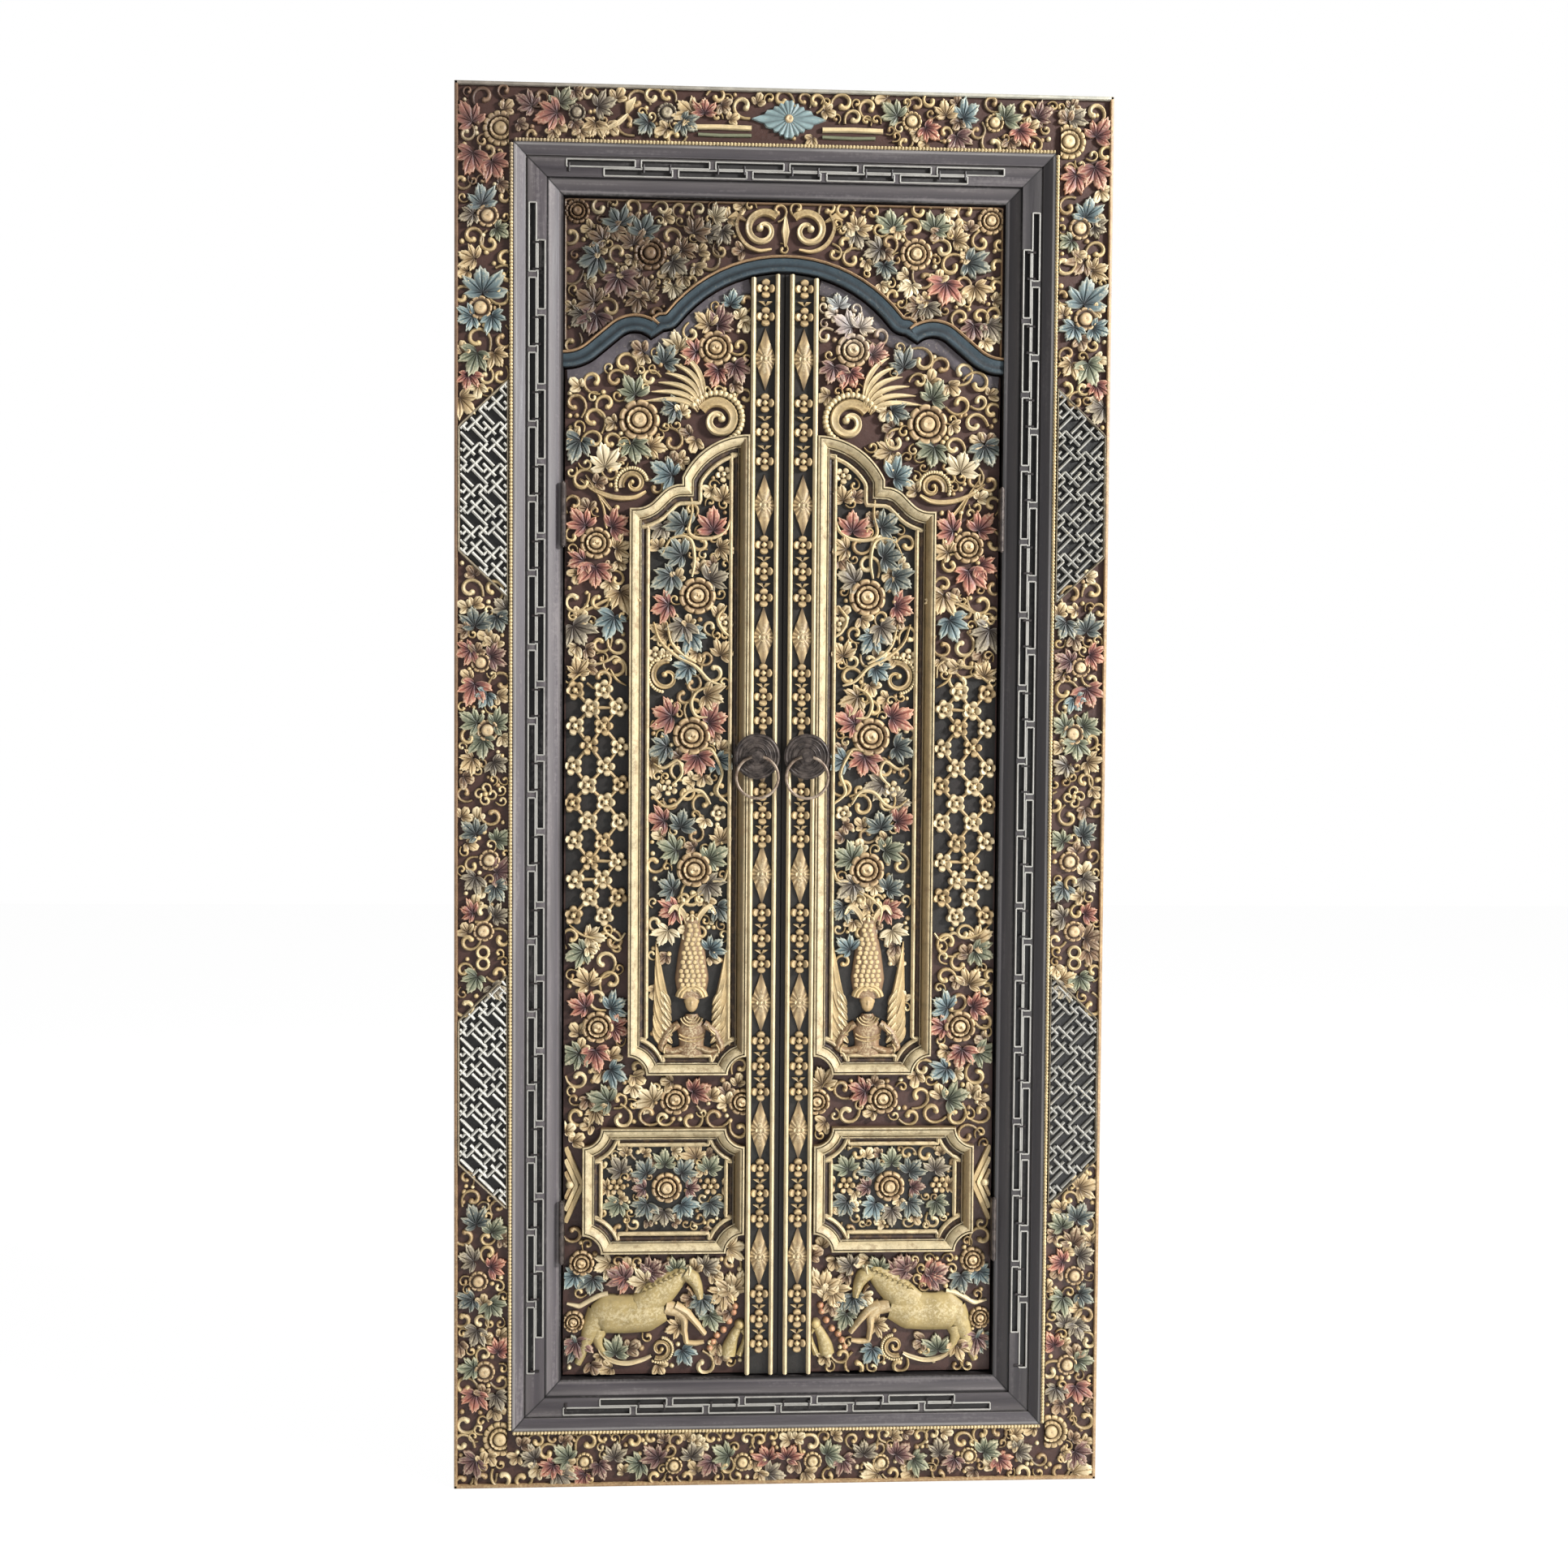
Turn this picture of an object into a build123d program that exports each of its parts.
"""Carved wooden double door in its moulded frame, without the wall.

Millimetres, +Z up. X runs across the door and the front faces -Y. The origin lies
in the middle of the frame's foot, halfway through the frame's depth. Sketches of the
front are drawn on planes that face the viewer, and "front" values below are distances
in front of the plane Y = 0.
"""

import os
from math import cos, pi, radians, sin

from build123d import *

os.makedirs("parts", exist_ok=True)

# Whole frame
door_width = 1040
door_height = 2230
frame_depth = 100

# Carved casing boards round the outside
casing_width = 92
casing_thickness = 34
casing_relief = 8
casing_rim_width = 5
casing_rim_drop = 3
casing_bead_width = 7

# Black moulded jambs, head and sill
jamb_width = 76
jamb_edge_drop = 3
jamb_edge_width = 4
jamb_slope_width = 14
jamb_slope_drop = 8
fret_band_width = 30
fret_band_drop = 10
quirk_width = 3
quirk_depth = 4
lip_width = 6
lip_drop = 22
fret_slot_width = 9
fret_slot_depth = 4
fret_slot_gap = 12
fret_pitch = 117

# Arch above the leaves, drawn from its crown outwards. The crown's bow takes up the
# width that the cusps, lobes, shoulders, feet and ledges leave
crown_below_head = 112
arch_ledge = 1.064079
bell_angle = 52
neck_radius = 30
cusp_run = 20
cusp_drop = 13
lobe_radius = 36
lobe_rise_angle = 44
lobe_fall_angle = 40
shoulder_length = 50
foot_radius = 80

# Transom panel
transom_thickness = 17
transom_ground_front = 17
transom_relief = 7
arch_band_width = 22
arch_band_height = 8
arch_bead_width = 5
arch_bead_height = 10
transom_border_width = 6

# Leaves
leaf_gap = 3
leaf_ground_front = 15
leaf_board_thickness = 32
leaf_edge_thickness = 8
leaf_top_rebate = 12
leaf_relief = 9
stop_width = 20
stop_thickness = 24
stop_clearance = 0.5

# Meeting stiles
meeting_channel = 16
stile_width = 46
stile_bead_width = 6
stile_ground_drop = 10
stile_bead_front = 27
stile_flower_height = 6
tongue_front = 16
tongue_thickness = 4
tongue_clearance = 0.3

# Gilt mouldings round the panels
moulding_front = 27
moulding_rim_width = 10
moulding_step_drop = 6
moulding_width = 26
moulding_seat = 14
corner_radius = 30
panel_ground_front = 8
panel_thickness = 10
panel_clearance = 0.5
panel_relief = 7

# Tall panel, its outline measured from the leaf's hinge edge, its foot and the arch
tall_side_margin = 103
tall_foot = 491
tall_crown_below_arch = 258
tall_ledge = 9.703960
tall_crown_angle = 65
tall_cusp_drop = 11
tall_lobe_radius = 44
tall_lobe_angle = 45
tall_shoulder = 20
tall_foot_radius = 40

# Small panel
small_side_margin = 31
small_inner_reach = 56
small_foot = 200
small_height = 205

# Hinges
hinge_length = 100
hinge_width = 33
hinge_plate_thickness = 2
barrel_radius = 4
barrel_lift = 0.5
pin_radius = 2
pin_clearance = 0.05
knuckle_gap = 0.4
pin_overhang = 2
upper_hinge_below_crown = 390
lower_hinge_above_sill = 242

# Ring pulls
pull_above_sill = 1010
pull_reach = 40
pull_plate_radius = 37
pull_plate_thickness = 3
pull_plate_teeth = 20
pull_rosette_radius = 24
pull_rosette_height = 2
knob_neck_radius = 6
knob_head_radius = 9
knob_head_length = 5
shank_width = 8
shank_clearance = 0.3
ring_outer_radius = 36
ring_wire_radius = 2.75
ring_hole_clearance = 0.75
ring_plate_clearance = 2.25
ring_head_clearance = 2.25
nut_width = 22
nut_thickness = 8

# Sizes that follow from the ones above
half_width = door_width / 2
frame_front = frame_depth / 2
casing_back = frame_front - casing_thickness
casing_ground = frame_front - casing_relief
opening_inset = casing_width + jamb_width
opening_half = half_width - opening_inset
sill_top = opening_inset
head_foot = door_height - opening_inset
crown_z = head_foot - crown_below_head
crown_radius = (
    opening_half
    - arch_ledge
    - neck_radius * sin(radians(bell_angle))
    - cusp_run
    - lobe_radius * (sin(radians(lobe_rise_angle)) + sin(radians(lobe_fall_angle)))
    - shoulder_length * cos(radians(lobe_fall_angle))
    - foot_radius * sin(radians(lobe_fall_angle))
) / sin(radians(bell_angle))
lip_front = frame_front - lip_drop
fret_front = frame_front - fret_band_drop
leaf_back = leaf_ground_front - leaf_board_thickness
leaf_edge_back = leaf_ground_front - leaf_edge_thickness
leaf_hinge_reach = opening_half - leaf_gap
leaf_foot = sill_top + leaf_gap
stile_outer_reach = meeting_channel / 2 + stile_width
stile_ground = stile_bead_front - stile_ground_drop
tall_outer_reach = leaf_hinge_reach - tall_side_margin
tall_crown_radius = (
    tall_outer_reach
    - stile_outer_reach
    - tall_ledge
    - (tall_lobe_radius + tall_foot_radius) * sin(radians(tall_lobe_angle))
    - tall_shoulder * cos(radians(tall_lobe_angle))
) / sin(radians(tall_crown_angle))
small_outer_reach = leaf_hinge_reach - small_side_margin
upper_hinge_above_sill = crown_z - sill_top - upper_hinge_below_crown
hinge_axis_reach = opening_half - leaf_gap / 2
hinge_axis_front = lip_front + barrel_lift + barrel_radius
tongue_back = tongue_front - tongue_thickness
tongue_swing = (hinge_axis_front - tongue_back) ** 2 / (2 * hinge_axis_reach)
tongue_reach = tongue_swing + tongue_clearance
pull_z = sill_top + pull_above_sill
ring_mid_radius = ring_outer_radius - ring_wire_radius
plate_front = moulding_front + pull_plate_thickness
ring_axis_front = plate_front + pull_rosette_height + ring_plate_clearance + ring_wire_radius
knob_neck_front = ring_axis_front + ring_wire_radius + ring_head_clearance


def front_plane(front):
    """Sketch plane that faces the viewer, at a distance in front of Y = 0."""
    return Plane.XZ.offset(front)


def strip_corners(side, outer, inner):
    """Corners of a mitred strip between two insets from the door's outer edge."""
    x_out = half_width - outer
    x_in = half_width - inner
    top_out = door_height - outer
    top_in = door_height - inner
    corners = {
        "left": [(-x_out, outer), (-x_out, top_out), (-x_in, top_in), (-x_in, inner)],
        "top": [(-x_out, top_out), (x_out, top_out), (x_in, top_in), (-x_in, top_in)],
        "bottom": [(-x_out, outer), (x_out, outer), (x_in, inner), (-x_in, inner)],
    }
    return corners[side]


def leaf_points(length):
    """Outline of a lobed leaf whose stalk is at the origin and tip along +X."""
    half = [(0.0, 0.07), (0.3, 0.4), (0.62, 0.3)]
    upper = [(along * length, across * length) for along, across in half]
    lower = [(x, -y) for x, y in reversed(upper)]
    return upper + [(length, 0)] + lower


def flower(x, z, radius, count=6):
    """Flower disc with a number of corners, added to the sketch in hand."""
    with Locations((x, z)):
        RegularPolygon(radius, count)


def leaf_shape(x, z, length, heading):
    """Leaf outline added to the sketch in hand, its tip along the heading."""
    with Locations((x, z)):
        Polygon(*leaf_points(length), rotation=heading, align=None)


def jamb_profile():
    """Section of the black frame as (inset from the outer edge, front) points."""
    edge_front = frame_front - jamb_edge_drop
    edge_end = casing_width + jamb_edge_width
    slope_end = edge_end + jamb_slope_width
    band_start = slope_end + quirk_width
    band_end = band_start + fret_band_width
    inner_start = band_end + quirk_width
    quirk_front = fret_front - quirk_depth
    return [
        (casing_width, -frame_front),
        (casing_width, edge_front),
        (edge_end, edge_front),
        (slope_end, edge_front - jamb_slope_drop),
        (slope_end, quirk_front),
        (band_start, quirk_front),
        (band_start, fret_front),
        (band_end, fret_front),
        (band_end, quirk_front),
        (inner_start, quirk_front),
        (opening_inset - lip_width, lip_front),
        (opening_inset, lip_front),
        (opening_inset, -frame_front),
    ]


fret_start = casing_width + jamb_edge_width + jamb_slope_width + quirk_width
fret_rows = [fret_start + fret_band_width * share for share in (0.27, 0.73)]


def fret_slots(length, row):
    """Middles and lengths of the slots along one row of the key fret."""
    slot = fret_pitch - fret_slot_gap
    count = int(length // fret_pitch)
    shift = fret_pitch / 2 if row else 0
    first = -(count - 1) * fret_pitch / 2 + shift
    middles = [first + i * fret_pitch for i in range(count - row)]
    return middles, slot


# Doorway: the outline below the arch, from the sill to the crown
with BuildSketch() as doorway:
    with BuildLine():
        crown_arc = JernArc((0, crown_z), (-1, 0), crown_radius, bell_angle)
        neck_arc = JernArc(crown_arc @ 1, crown_arc % 1, neck_radius, -bell_angle)
        cusp = neck_arc @ 1 + Vector(-cusp_run, -cusp_drop)
        Line(neck_arc @ 1, cusp)
        lobe_heading = radians(180 - lobe_rise_angle)
        lobe_arc = JernArc(
            cusp,
            (cos(lobe_heading), sin(lobe_heading)),
            lobe_radius,
            lobe_rise_angle + lobe_fall_angle,
        )
        shoulder = Line(lobe_arc @ 1, lobe_arc @ 1 + (lobe_arc % 1) * shoulder_length)
        foot_arc = JernArc(shoulder @ 1, shoulder % 1, foot_radius, -lobe_fall_angle)
        foot = foot_arc @ 1
        Polyline(foot, (-opening_half, foot.Y), (-opening_half, sill_top), (0, sill_top))
        mirror(about=Plane.YZ)
    make_face()

arch_foot_z = foot.Y
rear_top = [
    crown_arc @ 0,
    crown_arc @ 0.5,
    crown_arc @ 1,
    cusp,
    shoulder @ 1,
    Vector(-leaf_hinge_reach, arch_foot_z),
]

with BuildSketch() as leaf_outline:
    add(doorway.sketch)
    offset(amount=-leaf_gap, mode=Mode.REPLACE)

# Carved field of the left leaf: flowers as (reach from the meeting line, height above
# the leaf's foot, radius), leaves as (reach, height, length, heading)
leaf_flowers = [
    (110, 1658, 28),
    (231, 1542, 31),
    (105, 1544, 36),
    (299, 1346, 26),
    (294, 568, 26),
    (338, 450, 34),
    (169, 450, 25),
    (84, 448, 22),
    (319, 184, 21),
    (328, 88, 19),
    (197, 44, 24),
]
leaf_leaves = [
    (178, 1648, 36, 200),
    (315, 1500, 44, 250),
    (324, 1404, 38, 225),
    (304, 1300, 44, 270),
    (315, 630, 44, 220),
    (122, 452, 40, 330),
    (262, 175, 34, 20),
]

# Carved field of the tall panel, with the same meanings
tall_flowers = [
    (137, 1264, 29),
    (145, 1039, 31),
    (140, 823, 28),
]
tall_leaves = [
    (150, 1385, 40, 100),
    (105, 1330, 34, 350),
    (185, 1160, 38, 140),
    (140, 1000, 42, 285),
    (105, 965, 36, 320),
    (98, 775, 34, 320),
]

# Figure with spread wings at the tall panel's foot, as points to the left of its middle
figure_middle_reach = 145
figure_foot = 540
figure_body = [
    (0, 0),
    (44, 6),
    (52, 34),
    (34, 58),
    (14, 62),
    (17, 84),
    (14, 104),
    (22, 140),
    (18, 190),
    (14, 222),
    (0, 236),
]
figure_wing = [(38, 62), (66, 44), (70, 150), (58, 176), (44, 132), (36, 96)]

# Horse at the leaf's foot, its outline as (reach from the meeting line, height)
horse_outline = [
    (310, 108),
    (303, 130),
    (282, 142),
    (228, 139),
    (205, 146),
    (178, 168),
    (160, 178),
    (128, 152),
    (133, 138),
    (158, 150),
    (166, 132),
    (146, 112),
    (122, 80),
    (130, 70),
    (164, 66),
    (140, 52),
    (168, 50),
    (180, 90),
    (262, 82),
    (286, 80),
    (318, 30),
    (336, 24),
    (318, 90),
]

# Lattice of small flowers beside the tall panel
lattice_reach = 298
lattice_low = 716
lattice_high = 1142
lattice_width = 84
lattice_rows = 5
lattice_flower_radius = 12

# Band of flowers and long diamonds on the meeting stile
stile_pitch = 217
stile_flower_pitch = 43
stile_flower_radius = 17
stile_diamond_length = 80
stile_diamond_width = 26

# Small panel: heart flower, two buds and leaves round them, from the panel's middle
small_heart_radius = 29
small_bud_reach = 76
small_bud_radius = 14
small_leaf_length = 34
small_leaf_ring = 40

# Casing carving: flowers as (inset from the outer edge, height, radius)
side_flowers = [
    (51, 2023, 18),
    (41, 1880, 19),
    (41, 1324, 17),
    (52, 1217, 18),
    (49, 1116, 20),
    (55, 1011, 17),
    (46, 898, 18),
    (38, 335, 17),
    (48, 188, 17),
]
side_leaves = [
    (40, 2064, 34, 80),
    (44, 1915, 38, 95),
    (40, 1810, 34, 240),
    (50, 1288, 34, 270),
    (60, 862, 34, 290),
    (44, 400, 34, 70),
]
banji_panels = [(1500, 1695), (525, 755)]
banji_slant = 74
banji_inset = 8
banji_groove_width = 5
banji_groove_depth = 3
banji_groove_pitch = 36
top_flowers = [(190, 15), (330, 14)]
bottom_flowers = [(57, 15), (168, 14), (312, 14)]
rail_leaves = [(120, 34, 20), (250, 34, 160), (370, 34, 340)]
corner_flower_radius = 30
corner_flower_inset = 72

carving_levels = (0.7, 1.0)


def raise_carving(ground, relief, field, drawings):
    """Raise steps of carving from a ground, each drawn by its own function in a field."""
    start = 0
    for draw, share in zip(drawings, carving_levels):
        with BuildSketch(front_plane(ground + start)) as level:
            draw()
            add(field, mode=Mode.INTERSECT)
        extrude(level.sketch, amount=relief * share - start)
        start = relief * share


# Black frame: left jamb, head and sill
with BuildPart() as jamb:
    with BuildSketch(Plane.XY):
        Polygon(*[(u - half_width, -f) for u, f in jamb_profile()], align=None)
    extrude(amount=door_height)
    with BuildSketch(front_plane(-frame_front)):
        Polygon(*strip_corners("left", casing_width, opening_inset), align=None)
    extrude(amount=frame_depth, mode=Mode.INTERSECT)
    for row, inset in enumerate(fret_rows):
        middles, slot = fret_slots(head_foot - sill_top, row)
        with BuildSketch(front_plane(fret_front)):
            with Locations(*[(inset - half_width, door_height / 2 + m) for m in middles]):
                Rectangle(fret_slot_width, slot)
        extrude(amount=-fret_slot_depth, mode=Mode.SUBTRACT)
    for height in (upper_hinge_above_sill, lower_hinge_above_sill):
        with BuildSketch(Plane.YZ.offset(-opening_half)):
            with Locations((-lip_front + hinge_width / 2, sill_top + height)):
                Rectangle(hinge_width, hinge_length)
        extrude(
            amount=-(hinge_plate_thickness + barrel_lift),
            mode=Mode.SUBTRACT,
        )

rails = {}
for rail_name, rail_side in (("head", "top"), ("sill", "bottom")):
    with BuildPart() as rail:
        with BuildSketch(Plane.YZ):
            if rail_side == "top":
                Polygon(*[(-f, door_height - u) for u, f in jamb_profile()], align=None)
            else:
                Polygon(*[(-f, u) for u, f in jamb_profile()], align=None)
        extrude(amount=half_width, both=True)
        with BuildSketch(front_plane(-frame_front)):
            Polygon(*strip_corners(rail_side, casing_width, opening_inset), align=None)
        extrude(amount=frame_depth, mode=Mode.INTERSECT)
        for row, inset in enumerate(fret_rows):
            middles, slot = fret_slots(2 * opening_half, row)
            rail_z = door_height - inset if rail_side == "top" else inset
            with BuildSketch(front_plane(fret_front)):
                with Locations(*[(m, rail_z) for m in middles]):
                    Rectangle(slot, fret_slot_width)
            extrude(amount=-fret_slot_depth, mode=Mode.SUBTRACT)
    rails[rail_name] = rail

# Casing: a mitred board on each side with a rim, a bead and carving between them


def draw_side_low():
    """Leaves and flower discs of the left casing board."""
    for inset, height, length, heading in side_leaves:
        leaf_shape(inset - half_width, height, length, heading)
    for low, high in banji_panels:
        x_out = banji_inset + casing_rim_width - half_width
        x_in = casing_width - casing_bead_width - half_width
        Polygon(
            (x_out, low),
            (x_in, low - banji_slant),
            (x_in, high + banji_slant),
            (x_out, high),
            align=None,
        )
    draw_side_flowers(1.0, 6)
    draw_corner_flowers(corner_flower_radius)


def draw_side_flowers(share, count):
    """Flowers of the left casing board, at a share of their radius."""
    for inset, height, radius in side_flowers:
        flower(inset - half_width, height, radius * share, count)


def draw_corner_flowers(radius):
    """Large flowers that the mitres cut in half, at every corner of the casing."""
    inset = corner_flower_inset
    for x in (inset - half_width, half_width - inset):
        for z in (inset, door_height - inset):
            flower(x, z, radius, 8)


def draw_side_high():
    """Hearts of the left board's flowers."""
    draw_side_flowers(0.5, 4)
    draw_corner_flowers(corner_flower_radius * 0.55)


def draw_rail(rail_flowers, middle_inset, share, count):
    """Flowers on both halves of the top or bottom casing board."""
    for x, radius in rail_flowers:
        for side in (-1, 1):
            flower(side * x, middle_inset, radius * share, count)


def draw_rail_leaves(middle_z):
    """Leaves on both halves of the top or bottom casing board."""
    for x, length, heading in rail_leaves:
        leaf_shape(-x, middle_z, length, heading)
        leaf_shape(x, middle_z, length, 180 - heading)


casings = {}
rail_carving_inset = casing_width / 2
for casing_side in ("left", "top", "bottom"):
    field_outer = casing_rim_width
    field_inner = casing_width - casing_bead_width
    with BuildSketch() as casing_field:
        Polygon(*strip_corners(casing_side, field_outer, field_inner), align=None)
    with BuildPart() as casing:
        with BuildSketch(front_plane(casing_back)):
            Polygon(*strip_corners(casing_side, 0, casing_width), align=None)
        extrude(amount=casing_ground - casing_back)
        with BuildSketch(front_plane(casing_ground)):
            Polygon(*strip_corners(casing_side, 0, casing_rim_width), align=None)
        extrude(amount=casing_relief - casing_rim_drop)
        with BuildSketch(front_plane(casing_ground)):
            Polygon(*strip_corners(casing_side, field_inner, casing_width), align=None)
        extrude(amount=casing_relief)
        if casing_side == "left":
            low = draw_side_low
            high = draw_side_high
        else:
            rail_z = rail_carving_inset
            rail_flowers = bottom_flowers
            if casing_side == "top":
                rail_z = door_height - rail_carving_inset
                rail_flowers = top_flowers

            def low():
                draw_rail_leaves(rail_z)
                draw_rail(rail_flowers, rail_z, 1.0, 6)
                draw_corner_flowers(corner_flower_radius)

            def high():
                draw_rail(rail_flowers, rail_z, 0.5, 4)
                draw_corner_flowers(corner_flower_radius * 0.55)

        raise_carving(casing_ground, casing_relief - 1, casing_field.sketch, (low, high))
        if casing_side == "left":
            banji_front = casing_ground + (casing_relief - 1) * carving_levels[0]
            groove_length = casing_width - casing_bead_width - 2 * banji_inset
            for low_z, high_z in banji_panels:
                middle = (low_z + high_z) / 2
                count = int((high_z - low_z) // banji_groove_pitch)
                first = middle - (count - 1) * banji_groove_pitch / 2
                with BuildSketch(front_plane(banji_front)):
                    with Locations(
                        *[
                            (casing_width / 2 - half_width, first + i * banji_groove_pitch)
                            for i in range(count)
                        ]
                    ):
                        Rectangle(groove_length, banji_groove_width, rotation=-45)
                extrude(amount=-banji_groove_depth, mode=Mode.SUBTRACT)
    casings[casing_side] = casing

# Transom panel: the carved board above the arch, with the arch's band and bead
arch_inner_edge = arch_band_width + arch_bead_width
with BuildSketch() as transom_outline:
    with Locations((0, arch_foot_z)):
        Rectangle(
            2 * opening_half,
            head_foot - arch_foot_z,
            align=(Align.CENTER, Align.MIN),
        )
    add(doorway.sketch, mode=Mode.SUBTRACT)

with BuildSketch() as arch_edge:
    add(doorway.sketch)
    offset(amount=arch_inner_edge, mode=Mode.REPLACE)
    add(transom_outline.sketch, mode=Mode.INTERSECT)

with BuildSketch() as arch_band:
    add(doorway.sketch)
    offset(amount=arch_band_width, mode=Mode.REPLACE)
    add(transom_outline.sketch, mode=Mode.INTERSECT)

with BuildSketch() as transom_field:
    add(transom_outline.sketch)
    add(arch_edge.sketch, mode=Mode.SUBTRACT)
    with Locations((0, head_foot)):
        Rectangle(
            2 * (opening_half - transom_border_width),
            2 * (head_foot - transom_border_width - arch_foot_z),
            mode=Mode.INTERSECT,
        )
    with Locations((0, head_foot)):
        Rectangle(2 * opening_half, 2 * transom_border_width, mode=Mode.SUBTRACT)

transom_flowers = [(212, 84, 27), (338, 25, 25)]
transom_leaves = [
    (160, 50, 40, 120),
    (300, 120, 40, 200),
    (300, 190, 38, 240),
    (90, 60, 34, 160),
]
crest_offset = 34
crest_drop = 52
crest_radius = 30


def draw_transom_low():
    """Leaves, flowers and the crest's scrolls on the transom, given from the head."""
    for x, drop, length, heading in transom_leaves:
        leaf_shape(-x, head_foot - drop, length, heading)
        leaf_shape(x, head_foot - drop, length, 180 - heading)
    for x, drop, radius in transom_flowers:
        for side in (-1, 1):
            flower(side * x, head_foot - drop, radius, 6)
    for side in (-1, 1):
        flower(side * crest_offset, head_foot - crest_drop, crest_radius, 8)


def draw_transom_high():
    """Hearts of the transom's flowers and scrolls."""
    for x, drop, radius in transom_flowers:
        for side in (-1, 1):
            flower(side * x, head_foot - drop, radius / 2, 4)
    for side in (-1, 1):
        flower(side * crest_offset, head_foot - crest_drop, crest_radius / 2, 4)


with BuildPart() as transom:
    with BuildSketch(front_plane(transom_ground_front - transom_thickness)):
        add(transom_outline.sketch)
    extrude(amount=transom_thickness)
    with BuildSketch(front_plane(transom_ground_front)):
        add(arch_band.sketch)
    extrude(amount=arch_band_height)
    with BuildSketch(front_plane(transom_ground_front)):
        add(arch_edge.sketch)
        add(arch_band.sketch, mode=Mode.SUBTRACT)
    extrude(amount=arch_bead_height)
    raise_carving(
        transom_ground_front,
        transom_relief,
        transom_field.sketch,
        (draw_transom_low, draw_transom_high),
    )

# Door stops behind the leaves
with BuildPart() as stop:
    with BuildSketch(front_plane(leaf_back - stop_clearance)):
        with Locations((-opening_half, sill_top)):
            Rectangle(stop_width, head_foot - sill_top, align=(Align.MIN, Align.MIN))
    extrude(amount=-stop_thickness)

with BuildPart() as stop_bottom:
    with BuildSketch(front_plane(leaf_back - stop_clearance)):
        with Locations((0, sill_top)):
            Rectangle(
                2 * (opening_half - stop_width),
                stop_width,
                align=(Align.CENTER, Align.MIN),
            )
    extrude(amount=-stop_thickness)

# Outlines on the left leaf
with BuildSketch() as tall_outline:
    tall_z = leaf_foot + tall_foot
    tall_crown_z = crown_z - tall_crown_below_arch
    with BuildLine():
        start = Vector(-stile_outer_reach, tall_crown_z)
        tall_arc = JernArc(start, (-1, 0), tall_crown_radius, tall_crown_angle)
        tall_cusp = Line(tall_arc @ 1, tall_arc @ 1 + Vector(0, -tall_cusp_drop))
        tall_lobe = JernArc(tall_cusp @ 1, (-1, 0), tall_lobe_radius, tall_lobe_angle)
        tall_side = Line(tall_lobe @ 1, tall_lobe @ 1 + (tall_lobe % 1) * tall_shoulder)
        tall_toe = JernArc(tall_side @ 1, tall_side % 1, tall_foot_radius, -tall_lobe_angle)
        toe = tall_toe @ 1
        Polyline(
            toe,
            (-tall_outer_reach, toe.Y),
            (-tall_outer_reach, tall_z),
            (-stile_outer_reach, tall_z),
            start,
        )
    make_face()
    with Locations((-tall_outer_reach, tall_z), (-stile_outer_reach, tall_z)):
        Circle(corner_radius, mode=Mode.SUBTRACT)

small_width = small_outer_reach - small_inner_reach
small_middle = Vector(
    -(small_outer_reach + small_inner_reach) / 2,
    leaf_foot + small_foot + small_height / 2,
)
with BuildSketch() as small_outline:
    with Locations(small_middle):
        Rectangle(small_width, small_height)
        with GridLocations(small_width, small_height, 2, 2):
            Circle(corner_radius, mode=Mode.SUBTRACT)


def shrunk(outline, inset):
    """Outline moved inwards by an inset."""
    with BuildSketch() as smaller:
        add(outline)
        offset(amount=-inset, mode=Mode.REPLACE)
    return smaller.sketch


tall_pocket = shrunk(tall_outline.sketch, moulding_seat)
small_pocket = shrunk(small_outline.sketch, moulding_seat)
tall_window = shrunk(tall_outline.sketch, moulding_width)
small_window = shrunk(small_outline.sketch, moulding_width)
pocket_floor = panel_ground_front - panel_thickness


def leaf_strip(near, far):
    """Upright strip of the left leaf between two reaches, wider than the leaf is tall."""
    with BuildSketch() as strip:
        with Locations((-near, 0)):
            Rectangle(far - near, door_height, align=(Align.MAX, Align.MIN))
    return strip.sketch


with BuildSketch() as leaf_rear_outline:
    with BuildLine():
        rear_points = [(p.X, p.Y - leaf_top_rebate) for p in rear_top]
        Polyline(
            *rear_points,
            (-leaf_hinge_reach, leaf_foot),
            (0, leaf_foot),
            close=True,
        )
    make_face()

board_strip = leaf_strip(stile_outer_reach, leaf_hinge_reach)
stile_strip = leaf_strip(meeting_channel / 2, stile_outer_reach)
field_margin = 3
field_strip = leaf_strip(stile_outer_reach, leaf_hinge_reach - field_margin)

with BuildSketch() as leaf_field:
    add(leaf_outline.sketch)
    offset(amount=-2 * field_margin, mode=Mode.REPLACE)
    add(field_strip, mode=Mode.INTERSECT)
    add(tall_outline.sketch, mode=Mode.SUBTRACT)
    add(small_outline.sketch, mode=Mode.SUBTRACT)


def draw_leaf_low():
    """Leaves, flower discs, lattice and horse on the left leaf."""
    for reach, height, length, heading in leaf_leaves:
        leaf_shape(-reach, leaf_foot + height, length, heading)
    for reach, height, radius in leaf_flowers:
        flower(-reach, leaf_foot + height, radius, 6)
    Polygon(*[(-reach, leaf_foot + height) for reach, height in horse_outline], align=None)
    step = (lattice_high - lattice_low) / (lattice_rows - 1)
    for i in range(lattice_rows):
        z = leaf_foot + lattice_low + i * step
        span = lattice_width / 2 if i % 2 else lattice_width / 4
        for x in ((-span, span) if i % 2 == 0 else (-span, 0, span)):
            flower(x - lattice_reach, z, lattice_flower_radius, 4)


def draw_leaf_high():
    """Hearts of the left leaf's flowers."""
    for reach, height, radius in leaf_flowers:
        flower(-reach, leaf_foot + height, radius * 0.5, 4)


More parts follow.
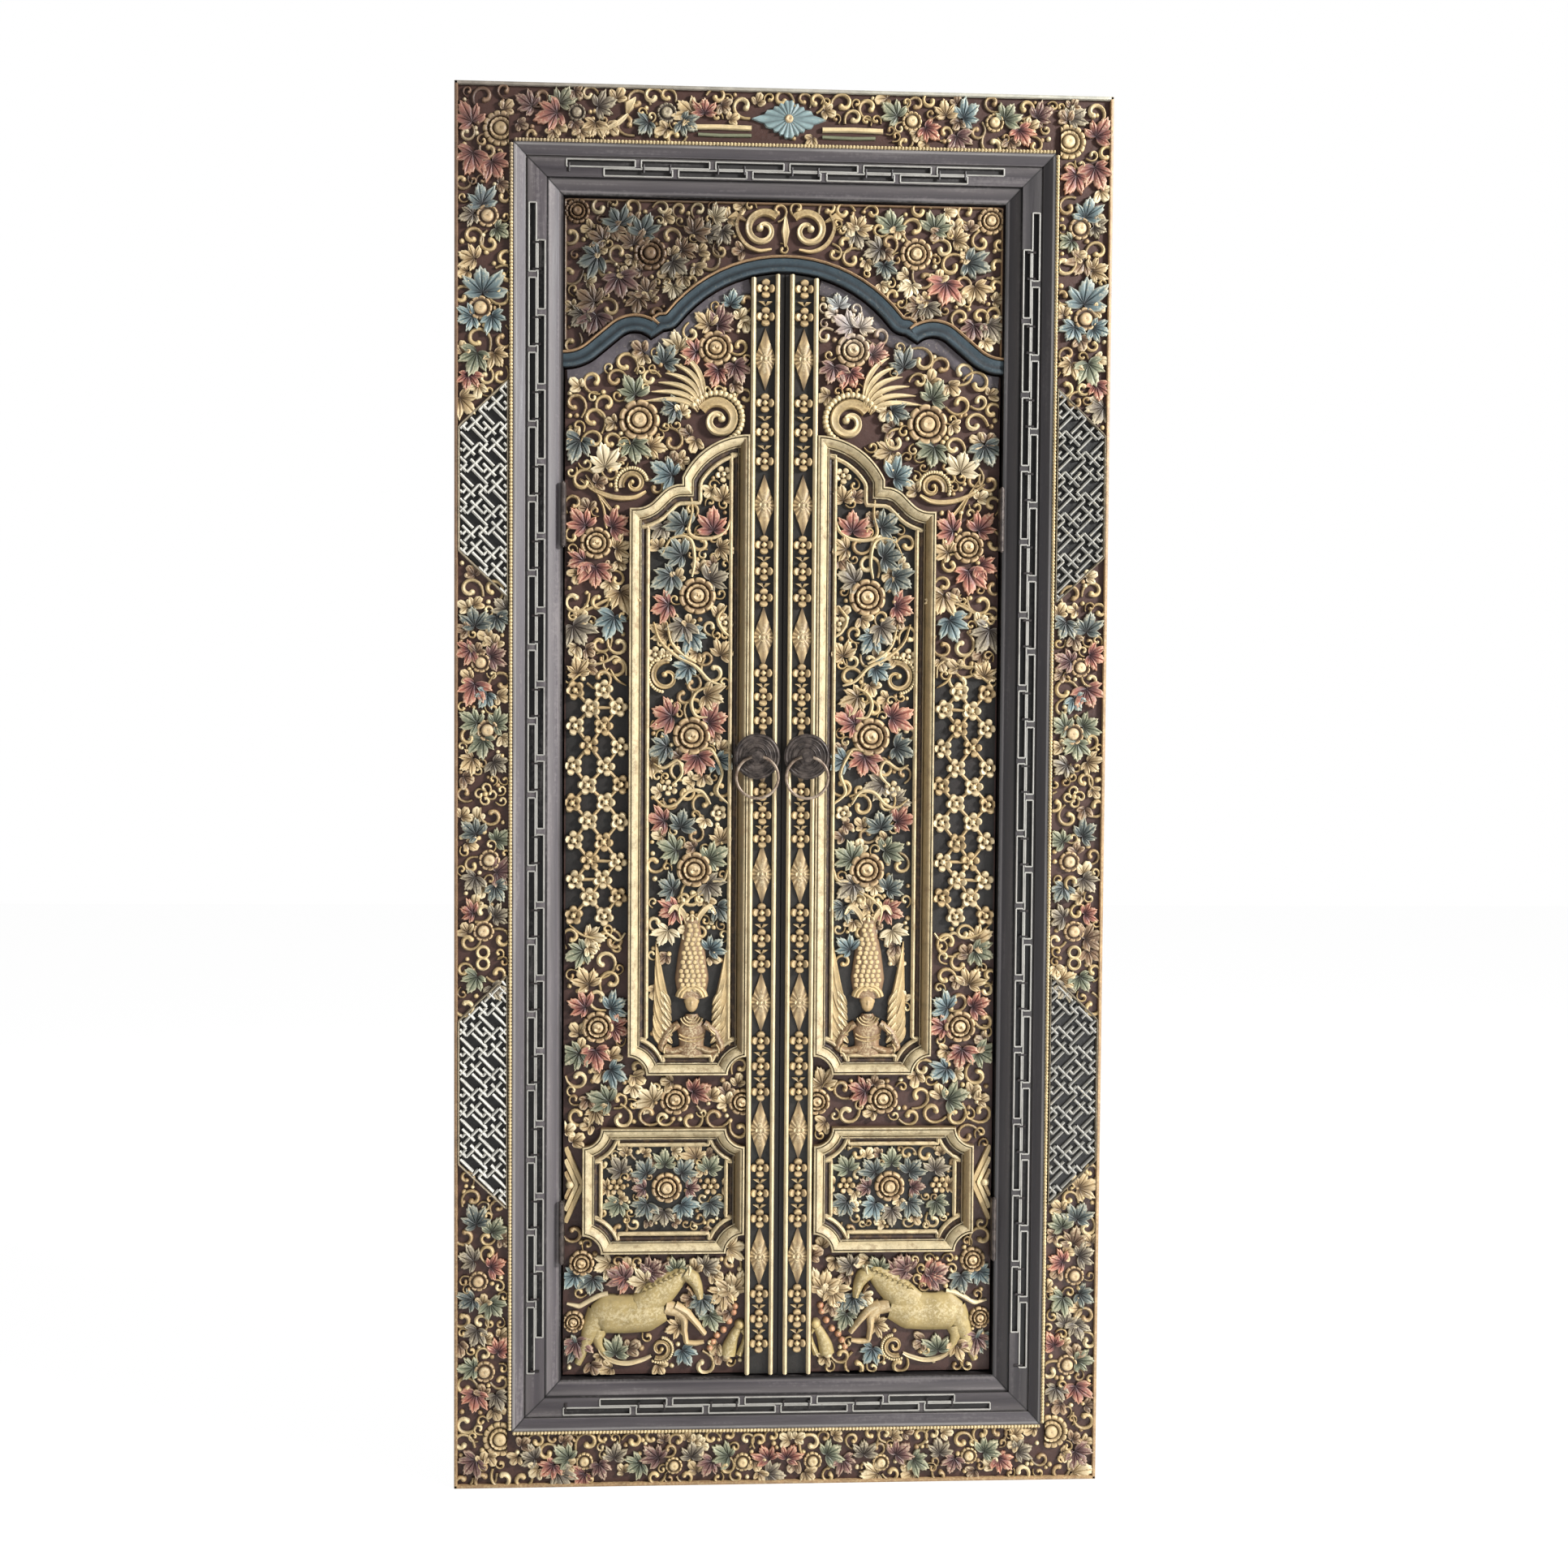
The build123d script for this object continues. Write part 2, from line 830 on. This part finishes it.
with BuildPart() as leaf_board:
    with BuildSketch(front_plane(leaf_back)):
        add(leaf_rear_outline.sketch)
        add(board_strip, mode=Mode.INTERSECT)
    extrude(amount=leaf_edge_back - leaf_back)
    with BuildSketch(front_plane(leaf_edge_back)):
        add(leaf_outline.sketch)
        add(board_strip, mode=Mode.INTERSECT)
    extrude(amount=leaf_edge_thickness)
    with BuildSketch(front_plane(leaf_ground_front)):
        add(tall_pocket)
        add(small_pocket)
    extrude(amount=pocket_floor - leaf_ground_front, mode=Mode.SUBTRACT)
    raise_carving(
        leaf_ground_front,
        leaf_relief,
        leaf_field.sketch,
        (draw_leaf_low, draw_leaf_high),
    )
    for height in (upper_hinge_above_sill, lower_hinge_above_sill):
        with BuildSketch(Plane.YZ.offset(-leaf_hinge_reach)):
            with Locations((-lip_front + hinge_width / 2, sill_top + height)):
                Rectangle(hinge_width, hinge_length)
        extrude(amount=hinge_plate_thickness + barrel_lift, mode=Mode.SUBTRACT)

# Meeting stile with its beads, flowers, diamonds and the black tongue
stile_middle = (stile_outer_reach + meeting_channel / 2) / 2
stile_run = door_height - 2 * opening_inset
stile_groups = int(stile_run // stile_pitch)


def draw_stile_low():
    """Four-petalled flowers and long diamonds of the left meeting stile."""
    for group in range(stile_groups + 1):
        z = leaf_foot + stile_pitch * (group + 0.5)
        for i in (-1, 0, 1):
            flower(-stile_middle, z + i * stile_flower_pitch, stile_flower_radius, 4)
        with Locations((-stile_middle, z + stile_pitch / 2)):
            Polygon(
                (0, stile_diamond_length / 2),
                (-stile_diamond_width / 2, 0),
                (0, -stile_diamond_length / 2),
                (stile_diamond_width / 2, 0),
                align=None,
            )


with BuildSketch() as stile_field:
    add(leaf_outline.sketch)
    offset(amount=-2 * field_margin, mode=Mode.REPLACE)
    add(
        leaf_strip(meeting_channel / 2 + stile_bead_width, stile_outer_reach - stile_bead_width),
        mode=Mode.INTERSECT,
    )

with BuildPart() as stile:
    with BuildSketch(front_plane(leaf_back)):
        add(leaf_rear_outline.sketch)
        add(stile_strip, mode=Mode.INTERSECT)
    extrude(amount=leaf_edge_back - leaf_back)
    with BuildSketch(front_plane(leaf_edge_back)):
        add(leaf_outline.sketch)
        add(stile_strip, mode=Mode.INTERSECT)
    extrude(amount=stile_ground - leaf_edge_back)
    with BuildSketch(front_plane(stile_ground)):
        add(leaf_outline.sketch)
        add(stile_strip, mode=Mode.INTERSECT)
        add(
            leaf_strip(
                meeting_channel / 2 + stile_bead_width, stile_outer_reach - stile_bead_width
            ),
            mode=Mode.SUBTRACT,
        )
    extrude(amount=stile_bead_front - stile_ground)
    with BuildSketch(front_plane(tongue_back)):
        add(leaf_outline.sketch)
        add(leaf_strip(tongue_reach, meeting_channel / 2), mode=Mode.INTERSECT)
    extrude(amount=tongue_thickness)
    raise_carving(stile_ground, stile_flower_height, stile_field.sketch, (draw_stile_low,))
    with BuildSketch(front_plane(leaf_back)):
        with Locations((-pull_reach, pull_z)):
            Rectangle(shank_width + 2 * shank_clearance, shank_width + 2 * shank_clearance)
    extrude(amount=frame_depth, mode=Mode.SUBTRACT)


def make_moulding(outline, window):
    """Gilt moulding round a panel: a raised rim and a lower step inside it."""
    with BuildPart() as moulding:
        with BuildSketch(front_plane(leaf_ground_front)) as whole:
            add(outline)
            add(window, mode=Mode.SUBTRACT)
        extrude(whole.sketch, amount=moulding_front - moulding_step_drop - leaf_ground_front)
        with BuildSketch(front_plane(moulding_front - moulding_step_drop)) as rim:
            add(outline)
            add(shrunk(outline, moulding_rim_width), mode=Mode.SUBTRACT)
        extrude(rim.sketch, amount=moulding_step_drop)
    return moulding


tall_moulding = make_moulding(tall_outline.sketch, tall_window)
small_moulding = make_moulding(small_outline.sketch, small_window)

# Carved panels seated in the leaf board's pockets, under the mouldings
tall_bed = shrunk(tall_pocket, panel_clearance)
tall_field = shrunk(tall_window, panel_clearance)
small_bed = shrunk(small_pocket, panel_clearance)
small_field = shrunk(small_window, panel_clearance)
figure_z = leaf_foot + figure_foot


def draw_tall_low():
    """Leaves, flower discs and the winged figure of the left tall panel."""
    for reach, height, length, heading in tall_leaves:
        leaf_shape(-reach, leaf_foot + height, length, heading)
    for side in (-1, 1):
        wing = [(side * x - figure_middle_reach, figure_z + z) for x, z in figure_wing]
        Polygon(*wing, align=None)
    for reach, height, radius in tall_flowers:
        flower(-reach, leaf_foot + height, radius, 6)
    left = [(-x - figure_middle_reach, figure_z + z) for x, z in figure_body]
    right = [(x - figure_middle_reach, figure_z + z) for x, z in reversed(figure_body)]
    Polygon(*left, *right[1:-1], align=None)


def draw_tall_high():
    """Hearts of the flowers and the figure's smooth head."""
    for reach, height, radius in tall_flowers:
        flower(-reach, leaf_foot + height, radius * 0.5, 4)
    with Locations((-figure_middle_reach, figure_z + 94)):
        RegularPolygon(15, 10)


def draw_small_low():
    """Heart flower, buds and a ring of leaves of the left small panel."""
    for i in range(8):
        angle = 45 * i + 22.5
        leaf_shape(
            small_middle.X + small_leaf_ring * cos(radians(angle)),
            small_middle.Y + small_leaf_ring * sin(radians(angle)),
            small_leaf_length,
            angle,
        )
    flower(small_middle.X, small_middle.Y, small_heart_radius, 8)
    for side in (-1, 1):
        flower(small_middle.X + side * small_bud_reach, small_middle.Y, small_bud_radius, 5)


def draw_small_high():
    """Middle of the small panel's heart flower."""
    flower(small_middle.X, small_middle.Y, small_heart_radius / 2, 6)


with BuildPart() as tall_panel:
    with BuildSketch(front_plane(pocket_floor)):
        add(tall_bed)
    extrude(amount=panel_thickness)
    raise_carving(
        panel_ground_front,
        panel_relief,
        tall_field,
        (draw_tall_low, draw_tall_high),
    )

with BuildPart() as small_panel:
    with BuildSketch(front_plane(pocket_floor)):
        add(small_bed)
    extrude(amount=panel_thickness)
    raise_carving(
        panel_ground_front,
        panel_relief,
        small_field,
        (draw_small_low, draw_small_high),
    )

# Hinges: a plate and knuckle on the frame, a plate and knuckle on the leaf, and a pin.
# They are drawn round the barrel's axis, the frame's half lying towards -X
knuckle_length = (hinge_length - knuckle_gap) / 2
plate_reach = barrel_radius


def hinge_half(side, level, middle_z):
    """One half of a hinge: side -1 is screwed to the jamb, +1 to the leaf."""
    axis_point = (-hinge_axis_reach, -hinge_axis_front)
    knuckle_z = middle_z + level * (knuckle_gap + knuckle_length) / 2
    plate_x = -hinge_axis_reach + side * (plate_reach - hinge_plate_thickness / 2)
    with BuildPart() as half:
        with BuildSketch(Plane.XY.offset(middle_z - hinge_length / 2)) as plate_section:
            with Locations((plate_x, -lip_front)):
                Rectangle(
                    hinge_plate_thickness, hinge_width, align=(Align.CENTER, Align.MIN)
                )
        extrude(plate_section.sketch, amount=hinge_length)
        with BuildSketch(Plane.XY.offset(knuckle_z - knuckle_length / 2)) as roll:
            with Locations((plate_x, -lip_front)):
                Rectangle(
                    hinge_plate_thickness,
                    hinge_axis_front - lip_front,
                    align=(Align.CENTER, Align.MAX),
                )
            with Locations(axis_point):
                RegularPolygon(barrel_radius, 12)
                Circle(pin_radius + pin_clearance, mode=Mode.SUBTRACT)
        extrude(roll.sketch, amount=knuckle_length)
    return half


def hinge_pin(middle_z):
    """Plain pin through both knuckles of a hinge."""
    low = middle_z - hinge_length / 2 - pin_overhang
    with BuildPart() as pin:
        with BuildSketch(Plane.XY.offset(low)) as section:
            with Locations((-hinge_axis_reach, -hinge_axis_front)):
                Circle(pin_radius)
        extrude(section.sketch, amount=hinge_length + 2 * pin_overhang)
    return pin


# Ring pull: serrated plate, knob with its square shank, ring and nut
with BuildPart() as pull_plate:
    with BuildSketch(front_plane(moulding_front)):
        with Locations((-pull_reach, pull_z)):
            RegularPolygon(pull_plate_radius, pull_plate_teeth)
            Rectangle(
                shank_width + 2 * shank_clearance,
                shank_width + 2 * shank_clearance,
                mode=Mode.SUBTRACT,
            )
    extrude(amount=pull_plate_thickness)
    with BuildSketch(front_plane(plate_front)):
        with Locations((-pull_reach, pull_z)):
            RegularPolygon(pull_rosette_radius, 12)
            Rectangle(
                shank_width + 2 * shank_clearance,
                shank_width + 2 * shank_clearance,
                mode=Mode.SUBTRACT,
            )
    extrude(amount=pull_rosette_height)

rosette_front = plate_front + pull_rosette_height
with BuildPart() as pull_knob:
    with BuildSketch(front_plane(rosette_front)):
        with Locations((-pull_reach, pull_z)):
            RegularPolygon(knob_neck_radius, 12)
    extrude(amount=knob_neck_front - rosette_front)
    with BuildSketch(front_plane(knob_neck_front)):
        with Locations((-pull_reach, pull_z)):
            RegularPolygon(knob_head_radius, 12)
    extrude(amount=knob_head_length)
    with BuildSketch(front_plane(rosette_front)):
        with Locations((-pull_reach, pull_z)):
            Rectangle(shank_width, shank_width)
    extrude(amount=leaf_back - nut_thickness - rosette_front)
    with BuildSketch(Plane.YZ.offset(-pull_reach - knob_head_radius)):
        with Locations((-ring_axis_front, pull_z)):
            Circle(ring_wire_radius + ring_hole_clearance)
    extrude(amount=2 * knob_head_radius, mode=Mode.SUBTRACT)

with BuildPart() as pull_nut:
    with BuildSketch(front_plane(leaf_back)):
        with Locations((-pull_reach, pull_z)):
            RegularPolygon(nut_width / 2, 6)
            Rectangle(
                shank_width + 2 * shank_clearance,
                shank_width + 2 * shank_clearance,
                mode=Mode.SUBTRACT,
            )
    extrude(amount=-nut_thickness)

ring_middle = Vector(-pull_reach, -ring_axis_front, pull_z - ring_mid_radius)
with BuildPart() as pull_ring:
    with BuildSketch(Plane(ring_middle, x_dir=(1, 0, 0), z_dir=(0, 0, 1))):
        with Locations((ring_mid_radius, 0)):
            RegularPolygon(ring_wire_radius, 6)
    revolve(axis=Axis(ring_middle, (0, 1, 0)))

# Every piece of the left half, with the twin that the right half has
left_pieces = {
    "casing": casings["left"],
    "jamb": jamb,
    "stop": stop,
    "leaf_board": leaf_board,
    "meeting_stile": stile,
    "tall_moulding": tall_moulding,
    "small_moulding": small_moulding,
    "tall_panel": tall_panel,
    "small_panel": small_panel,
    "pull_plate": pull_plate,
    "pull_knob": pull_knob,
    "pull_nut": pull_nut,
    "pull_ring": pull_ring,
}
for place, above in (("upper", upper_hinge_above_sill), ("lower", lower_hinge_above_sill)):
    left_pieces[f"{place}_hinge_frame_plate"] = hinge_half(-1, -1, sill_top + above)
    left_pieces[f"{place}_hinge_leaf_plate"] = hinge_half(1, 1, sill_top + above)
    left_pieces[f"{place}_hinge_pin"] = hinge_pin(sill_top + above)

for name, piece in left_pieces.items():
    piece.part.label = f"left_{name}"
    export_step(piece.part, f"parts/{piece.part.label}.step")
    with BuildPart() as twin:
        mirror(piece.part, about=Plane.YZ)
    twin.part.label = f"right_{name}"
    export_step(twin.part, f"parts/{twin.part.label}.step")

middle_pieces = {
    "casing_top": casings["top"],
    "casing_bottom": casings["bottom"],
    "head": rails["head"],
    "sill": rails["sill"],
    "transom_panel": transom,
    "stop_bottom": stop_bottom,
}
for name, piece in middle_pieces.items():
    piece.part.label = name
    export_step(piece.part, f"parts/{name}.step")
